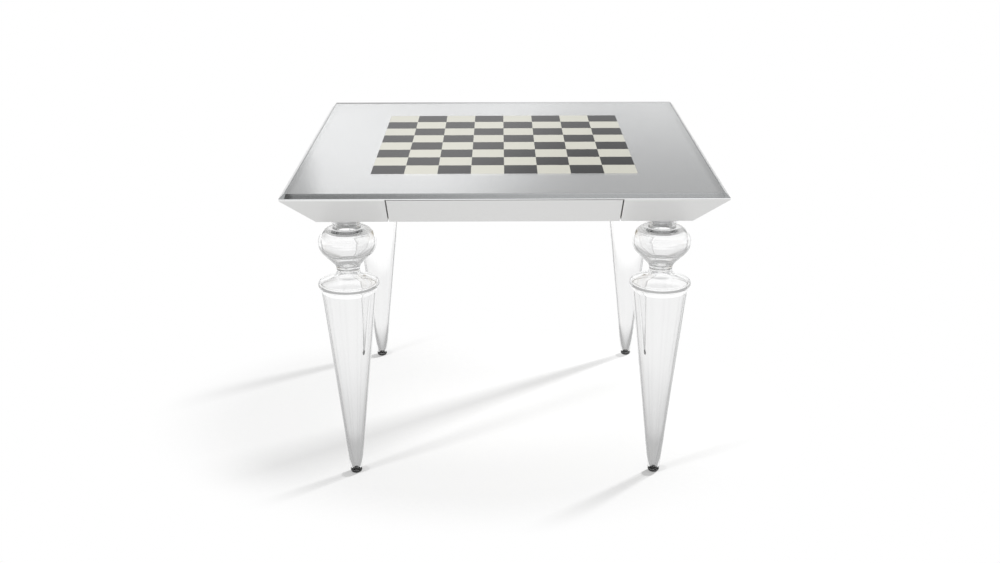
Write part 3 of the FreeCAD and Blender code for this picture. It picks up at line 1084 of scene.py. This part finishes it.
    def build(self) -> None:
        """Makes the leg and dresses its fittings."""
        outer = Unevenness(self.seed, self.outer_depth)
        inner = Unevenness(self.seed + self.inner_seed, self.inner_depth)
        outside = self.outside()[::-1]
        skins = [(outside[:-1], outer), (self.lip(), Unevenness(0, 0.0)), (self.bubble()[1:], inner)]
        points, blocks = shell(skins, self.centre, self.columns)
        hollow_points, hollow_blocks = shell([(self.hollow(), inner)], self.centre, self.columns)
        blocks += [block + len(points) for block in hollow_blocks]
        faces = [face for block in blocks for face in block.tolist()]
        points = np.concatenate([points, hollow_points])
        leg = piece_from("blown_leg_" + self.corner, points, faces, BLOWN_GLASS, smooth=True)
        stand_in(leg, "leg_glass_" + self.corner)
        dress("leg_plug_" + self.corner, FROSTED_METAL)
        dress("leg_plate_" + self.corner, TURNED_STEEL)
        dress("foot_" + self.corner, BLACK_RUBBER)
        dress("corner_block_" + self.corner, BIRCH_ALONG_X)


@dataclass
class GlassTop:
    """The clear plate with its bevel all round, bonded over the silver and the board."""

    bevel: float = 10 * MM
    land: float = 1 * MM
    arris: float = 0.35 * MM
    corner_round: float = 0.8 * MM
    corner_points: int = 4
    bond: float = 0.2 * MM

    def ring(self, half: float, level: float) -> np.ndarray:
        """A square ring with rounded corners.

        Each corner is its own centre, half less the round along both axes, plus the round times
        (cos angle, sin angle) over a quarter turn.

        Args:
            half: half of the square's side.
            level: its height.

        Returns:
            Its points, counter-clockwise from above.
        """
        angle = np.linspace(0, math.pi / 2, self.corner_points)
        turns = np.arange(4)[:, None] * math.pi / 2
        reach = (half - self.corner_round) * math.sqrt(2)
        across = reach * np.cos(turns + math.pi / 4) + self.corner_round * np.cos(turns + angle)
        along = reach * np.sin(turns + math.pi / 4) + self.corner_round * np.sin(turns + angle)
        return np.stack([across.ravel(), along.ravel(), np.full(across.size, level)], axis=1)

    def build(self) -> None:
        """Makes the plate from its rings, bottom to top."""
        low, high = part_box("glass_top")
        half, foot, top = high[0], low[2], high[2]
        slope = (top - foot - self.land) / self.bevel
        fall = self.arris * slope
        rings = [
            self.ring(half - self.arris, foot - self.bond),
            self.ring(half, foot - self.bond + self.arris),
            self.ring(half, foot + self.land - self.arris / 2),
            self.ring(half - self.arris / 2, foot + self.land + fall / 2),
            self.ring(half - self.bevel + self.arris / 2, top - fall / 2),
            self.ring(half - self.bevel - self.arris / 2, top),
        ]
        count = len(rings[0])
        column = np.arange(count)
        last = (len(rings) - 1) * count
        faces = [*bands(len(rings), count).tolist(), column[::-1].tolist(), (last + column).tolist()]
        plate = piece_from("bevelled_glass_plate", np.concatenate(rings), faces, PLATE_GLASS, smooth=False)
        stand_in(plate, "glass_top")


@dataclass
class Carcass:
    """The board, the silver, the sloping apron and the timber that holds them."""

    apron_easing: float = 0.6 * MM
    timber_easing: float = 1.0 * MM

    def build(self) -> None:
        """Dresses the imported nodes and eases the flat-sided ones."""
        dress("silver_panel", SILVER)
        dress("board_dark_squares", DARK_INLAY)
        dress("board_light_squares", LIGHT_INLAY)
        dress("top_board", BIRCH_ALONG_X)
        for place in ("left", "right", "back", "front_left", "front_right"):
            eased("apron_" + place, WHITE_LACQUER, self.apron_easing)
        for side in ("left", "right"):
            eased("rail_" + side, BIRCH_ALONG_Y, self.timber_easing)
        eased("stop_rail", BIRCH_ALONG_X, self.timber_easing)
        for place in ("left", "right", "back"):
            dress("bottom_panel_" + place, WHITE_LACQUER)
        dress("plate_screws", BRUSHED_STEEL)
        dress("leg_insert_nuts", TURNED_BRASS)
        dress("drawer_buffers", BLACK_RUBBER)


@dataclass
class Drawer:
    """The drawer: its lacquered front, timber box, felt lining and both runners."""

    front_easing: float = 0.4 * MM
    box_easing: float = 1.2 * MM
    bottom_easing: float = 0.3 * MM
    lining_points: int = 40
    lining_thickness: float = 1.3 * MM
    lining_lift: float = 0.07 * MM
    ripple_depth: float = 0.06 * MM
    ripple_turns: Pair = (31.0, 27.0)
    ripple_starts: Pair = (1.3, 0.4)

    def lining(self) -> None:
        """The felt: a sheet laid over the drawer's bottom.

        It ripples by the ripple's depth times sin(turn * x + start) * sin(turn * y + start).
        """
        low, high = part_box("drawer_lining")
        across = np.linspace(low[0], high[0], self.lining_points)
        along = np.linspace(low[1], high[1], self.lining_points)
        x, y = np.meshgrid(across, along, indexing="ij")
        wave_x = np.sin(self.ripple_turns[0] * x + self.ripple_starts[0])
        wave_y = np.sin(self.ripple_turns[1] * y + self.ripple_starts[1])
        z = low[2] + self.lining_thickness / 2 + self.lining_lift + self.ripple_depth * wave_x * wave_y
        points = np.stack([x.ravel(), y.ravel(), z.ravel()], axis=1)
        count = self.lining_points
        cell = (np.arange(count - 1)[:, None] * count + np.arange(count - 1)).ravel()
        faces = np.stack([cell, cell + count, cell + count + 1, cell + 1], axis=1).tolist()
        felt = piece_from("felt_lining", points, faces, LINING_FELT, smooth=True)
        body = felt.modifiers.new("thickness", "SOLIDIFY")
        body.thickness = self.lining_thickness
        body.offset = 0.0
        stand_in(felt, "drawer_lining")

    def build(self) -> None:
        """Makes and dresses the drawer's pieces."""
        eased("drawer_front", WHITE_LACQUER, self.front_easing)
        for place in ("inner_front", "back"):
            eased("drawer_" + place, MAPLE_ALONG_X, self.box_easing)
        for side in ("left", "right"):
            eased("drawer_side_" + side, MAPLE_ALONG_Y, self.box_easing)
            for member in ("outer", "middle", "inner"):
                dress("runner_%s_%s" % (member, side), RUNNER_ZINC)
        eased("drawer_bottom", MAPLE_ALONG_X, self.bottom_easing)
        eased("drawer_glue_blocks", BIRCH_ALONG_X, self.box_easing)
        self.lining()


@dataclass(frozen=True)
class Sky:
    """The surroundings: white to the camera, even for soft light, and graded for silver and glass.

    Directions are in degrees, azimuth from +Y towards +X and elevation over the level. Silver and glass
    see white up to an uneven edge and grey over it. Glass also sees less light further down, and dark
    gaps between pale cards that stand at each quarter turn.
    """

    edge: float = 12.8
    edge_rise: Ramp = Ramp(-4.0, 5.0, 4.3, 0.0)
    edge_dip: Ramp = Ramp(-9.4, -7.8, 3.6, 0.0)
    over_edge: Ramp = Ramp(-3.2, 3.2, 1.0, 0.38)
    high_start: Ramp = Ramp(20.0, 25.0)
    high_end: Ramp = Ramp(40.0, 60.0, 1.0, 0.0)
    high_lift: Ramp = Ramp(-9.0, 3.0, -0.72, 1.25)
    ahead_start: Ramp = Ramp(-120.0, -60.0)
    ahead_end: Ramp = Ramp(60.0, 120.0, 1.0, 0.0)
    low_tone: Ramp = Ramp(-29.5, -22.0, 0.47, 0.93)
    middle_tone: Ramp = Ramp(-19.6, -18.6, 0.0, 0.17)
    level_tone: Ramp = Ramp(-4.0, 4.0, 0.0, 0.15)
    patch_level: float = 11.0
    patch_reach: Ramp = Ramp(1.0, 4.0, 1.0, 0.0)
    patch_gain: Ramp = Ramp(-9.0, -1.0, 0.3, 0.0)
    card_turn: float = 90.0
    gap_dark: float = 0.78
    gap_start: Ramp = Ramp(22.0, 26.0)
    gap_end: Ramp = Ramp(34.0, 38.0, 1.0, 0.0)
    gap_top: Ramp = Ramp(5.0, 9.0, 1.0, 0.0)
    gap_pale: Ramp = Ramp(-15.0, -12.0, 1.0, 0.45)
    gap_low: Ramp = Ramp(-28.0, -22.0, 0.3, 1.0)
    gap_foot: Ramp = Ramp(-42.0, -32.0)
    quiet_level: float = -18.3
    quiet_reach: Ramp = Ramp(1.0, 2.2, 0.4, 1.0)
    silver_share: float = 0.62
    soft_share: float = 0.72

    def graded(self, elevation: Value, azimuth: Value, ahead: Value) -> Value:
        """The light that silver sees: less over the edge, and lifted or lowered high up ahead.

        Args:
            elevation, azimuth: the direction.
            ahead: 1 towards +Y, 0 behind.

        Returns:
            The light, 1 being white.
        """
        edge = self.edge + azimuth.ramp(self.edge_rise) - azimuth.ramp(self.edge_dip)
        high = elevation.ramp(self.high_start) * elevation.ramp(self.high_end)
        lift = high * ahead * azimuth.ramp(self.high_lift)
        return (elevation - edge).ramp(self.over_edge) * (1.0 + lift)

    def tone(self, elevation: Value, azimuth: Value, ahead: Value) -> Value:
        """The share of it that glass sees: steps up from below, and a patch over the level at the left.

        Args:
            elevation, azimuth: the direction.
            ahead: 1 towards +Y, 0 behind.

        Returns:
            The share.
        """
        low, middle = elevation.ramp(self.low_tone), elevation.ramp(self.middle_tone)
        patch = abs(elevation - self.patch_level).ramp(self.patch_reach)
        return low + middle + elevation.ramp(self.level_tone) + ahead * azimuth.ramp(self.patch_gain) * patch

    def gaps(self, elevation: Value, azimuth: Value) -> Value:
        """How dark the gaps between the cards are.

        The angle from the nearest card is card_turn times the distance of azimuth / card_turn from the
        nearest whole number.

        Args:
            elevation, azimuth: the direction.

        Returns:
            The share of the light that is missing.
        """
        off_card = abs((azimuth / self.card_turn + 0.5).math("FRACT") - 0.5) * self.card_turn
        gap = off_card.ramp(self.gap_start) * off_card.ramp(self.gap_end)
        low = elevation.ramp(self.gap_top) * elevation.ramp(self.gap_pale)
        depth = elevation.ramp(self.gap_low) * elevation.ramp(self.gap_foot)
        quiet = abs(elevation - self.quiet_level).ramp(self.quiet_reach)
        return low * depth * quiet * gap * self.gap_dark

    def build(self) -> None:
        """Makes the scene's world."""
        world = bpy.data.worlds.new("studio")
        world.use_nodes = True
        bpy.context.scene.world = world
        shader = Shader(world.node_tree)
        across, along, up = shader.axes(shader.value("TexCoord", output="Generated"))
        elevation = up.math("ARCSINE") * math.degrees(1)
        azimuth = across.math("ARCTAN2", along) * math.degrees(1)
        ahead = azimuth.ramp(self.ahead_start) * azimuth.ramp(self.ahead_end)
        graded = self.graded(elevation, azimuth, ahead)
        bent = graded * self.tone(elevation, azimuth, ahead) * (1.0 - self.gaps(elevation, azimuth))
        through = shader.ray(Ray.TRANSMISSION)
        glossy = shader.ray(Ray.GLOSSY) * (1.0 - through)
        soft = (1.0 - glossy) * (1.0 - through)
        camera = shader.ray(Ray.CAMERA)
        seen = glossy * graded * self.silver_share + through * bent + soft * self.soft_share
        strength = camera + (1.0 - camera) * seen
        light = shader.value("Background", sockets={"Color": grey(1.0), "Strength": strength})
        shader.node("OutputWorld", sockets={"Surface": light})
        world.cycles.sampling_method = "NONE"


@dataclass(frozen=True)
class Floor:
    """A white floor that glows evenly and keeps the table's shadow near the table.

    Round the table, in an oval that leans with the shadow's streak, it is paint with a dim glow, which is
    stronger in the oval's middle: a painted pool of light under the table. Further out it only glows.
    """

    streak_turn: float
    half: float = 40.0
    oval_shift: float = 0.1
    oval_lean: float = 0.36
    near_edge: Ramp = Ramp(0.5, 0.75, 1.0, 0.0)
    soft_loss: float = 0.2
    paint: float = 0.3
    dim_glow: float = 0.20
    # painted pool of light: more glow in the oval's middle, under the table
    painted_light_pool: Ramp = Ramp(0.1, 0.4, 0.055, 0.0)

    def material(self) -> bpy.types.Material:
        """The floor's material.

        A point's places down the streak and beside it are its coordinates turned by streak_turn. It is
        out from the oval's middle by the root of (down + shift + lean * beside) squared plus beside
        squared.

        Returns:
            The material.
        """
        material = bpy.data.materials.new("white floor")
        material.use_nodes = True
        shader = Shader(material.node_tree)
        across, along, _ = shader.axes(shader.place())
        turn = math.radians(self.streak_turn)
        down_light = across * math.cos(turn) + along * math.sin(turn)
        beside = along * math.cos(turn) - across * math.sin(turn)
        drift = down_light + self.oval_shift + self.oval_lean * beside
        out = (drift ** 2.0 + beside ** 2.0).math("SQRT")
        glow = shader.value("Emission", sockets={"Strength": 1.0 - self.soft_loss * shader.ray(Ray.DIFFUSE)})
        # The dim glow rises towards the oval's middle: a painted pool of light that lifts the floor under
        # the table.
        glow_with_painted_pool = self.dim_glow + out.ramp(self.painted_light_pool)
        dim_glow = shader.value("Emission", sockets={"Strength": glow_with_painted_pool})
        paint = shader.value("BsdfDiffuse", sockets={"Color": grey(self.paint)})
        kept = shader.value("AddShader", sockets={0: dim_glow, 1: paint})
        shader.finish(Surface=shader.mixed(out.ramp(self.near_edge), glow, kept))
        material.cycles.emission_sampling = "NONE"
        return material

    def build(self) -> bpy.types.Object:
        """Makes the floor.

        Returns:
            The floor, linked to the scene.
        """
        corners = self.half * np.array([[-1, -1, 0], [1, -1, 0], [1, 1, 0], [-1, 1, 0]])
        mesh = bpy.data.meshes.new("floor")
        mesh.from_pydata(corners.tolist(), [], [[0, 1, 2, 3]])
        mesh.materials.append(self.material())
        floor = bpy.data.objects.new("floor", mesh)
        bpy.context.scene.collection.objects.link(floor)
        floor.visible_transmission = False
        return floor


@dataclass(frozen=True)
class Lamp:
    """A square area lamp that looks at a point on the table's axis.

    Its direction from that point is in degrees, azimuth from +X towards +Y and elevation over the level.
    Its power is in watts, and aim is the point's height.
    """

    name: str
    azimuth: float
    elevation: float
    distance: float
    side: float
    power: float
    aim: float

    def build(self, receivers: bpy.types.Collection) -> None:
        """Places the lamp.

        Args:
            receivers: what it lights, or leaves out.
        """
        data = bpy.data.lights.new(self.name, "AREA")
        data.shape = "SQUARE"
        data.size = self.side
        data.energy = self.power
        lamp = bpy.data.objects.new(self.name, data)
        turn, rise = math.radians(self.azimuth), math.radians(self.elevation)
        back = np.array([math.cos(turn) * math.cos(rise), math.sin(turn) * math.cos(rise), math.sin(rise)])
        facing = Matrix.Rotation(turn + math.pi / 2, 4, "Z") @ Matrix.Rotation(math.pi / 2 - rise, 4, "X")
        lamp.matrix_world = Matrix.Translation(np.array([0, 0, self.aim]) + self.distance * back) @ facing
        lamp.visible_glossy = False
        lamp.visible_transmission = False
        bpy.context.scene.collection.objects.link(lamp)
        lamp.light_linking.receiver_collection = receivers


@dataclass
class Studio:
    """The plain studio round the table: camera, pale surroundings, white floor and soft lamps."""

    eye: tuple[float, float, float] = (-0.0095, -3.2281, 1.5287)
    down: float = 17.581
    roll: float = -0.187
    lens: float = 46.23
    sensor: float = 36.0
    shift: Pair = (-0.0003, -0.05)
    streak_turn: float = 38.0
    glass_bounces: int = 24
    glossy_bounces: int = 10
    diffuse_bounces: int = 3

    def camera(self) -> None:
        """Places the camera at the photograph's point of view."""
        data = bpy.data.cameras.new("camera")
        data.lens = self.lens
        data.sensor_width = self.sensor
        data.shift_x, data.shift_y = self.shift
        camera = bpy.data.objects.new("camera", data)
        tilt = Matrix.Rotation(math.radians(90 - self.down), 4, "X")
        lean = Matrix.Rotation(math.radians(self.roll), 4, "Z")
        camera.matrix_world = Matrix.Translation(self.eye) @ tilt @ lean
        bpy.context.scene.collection.objects.link(camera)
        bpy.context.scene.camera = camera

    def lamps(self, floor: bpy.types.Object) -> None:
        """Hangs two lamps that light all but the floor, and two that light it alone, along the streak.

        Args:
            floor: the floor.
        """
        ground = bpy.data.collections.new("floor only")
        ground.objects.link(floor)
        rest = bpy.data.collections.new("all but the floor")
        rest.objects.link(floor)
        rest.collection_objects[0].light_linking.link_state = "EXCLUDE"
        soft = {"distance": 3.2, "aim": 0.7}
        low = {"elevation": 16, "distance": 4.5, "aim": 0.2}
        Lamp("overhead", azimuth=60, elevation=72, side=2.6, power=60, **soft).build(rest)
        Lamp("front left", azimuth=-140, elevation=30, side=1.5, power=38, **soft).build(rest)
        Lamp("floor right rear", azimuth=self.streak_turn, side=0.42, power=950, **low).build(ground)
        Lamp("floor front left", azimuth=self.streak_turn - 180, side=0.4, power=320, **low).build(ground)

    def build(self) -> None:
        """Sets up the whole studio."""
        scene = bpy.context.scene
        scene.view_settings.view_transform = "Standard"
        scene.cycles.max_bounces = self.glass_bounces
        scene.cycles.transmission_bounces = self.glass_bounces
        scene.cycles.transparent_max_bounces = self.glass_bounces
        scene.cycles.glossy_bounces = self.glossy_bounces
        scene.cycles.diffuse_bounces = self.diffuse_bounces
        scene.cycles.caustics_reflective = False
        scene.cycles.caustics_refractive = False
        self.camera()
        Sky().build()
        self.lamps(Floor(self.streak_turn).build())
        log.info("studio: camera, sky, floor and four lamps")


def main() -> None:
    logging.basicConfig(level=logging.INFO, format="%(message)s")
    Studio().build()
    GlassTop().build()
    Carcass().build()
    Drawer().build()
    for seed, corner in enumerate(("front_left", "front_right", "back_left", "back_right"), start=1):
        GlassLeg(corner, seed).build()


if __name__ == "__main__":
    main()
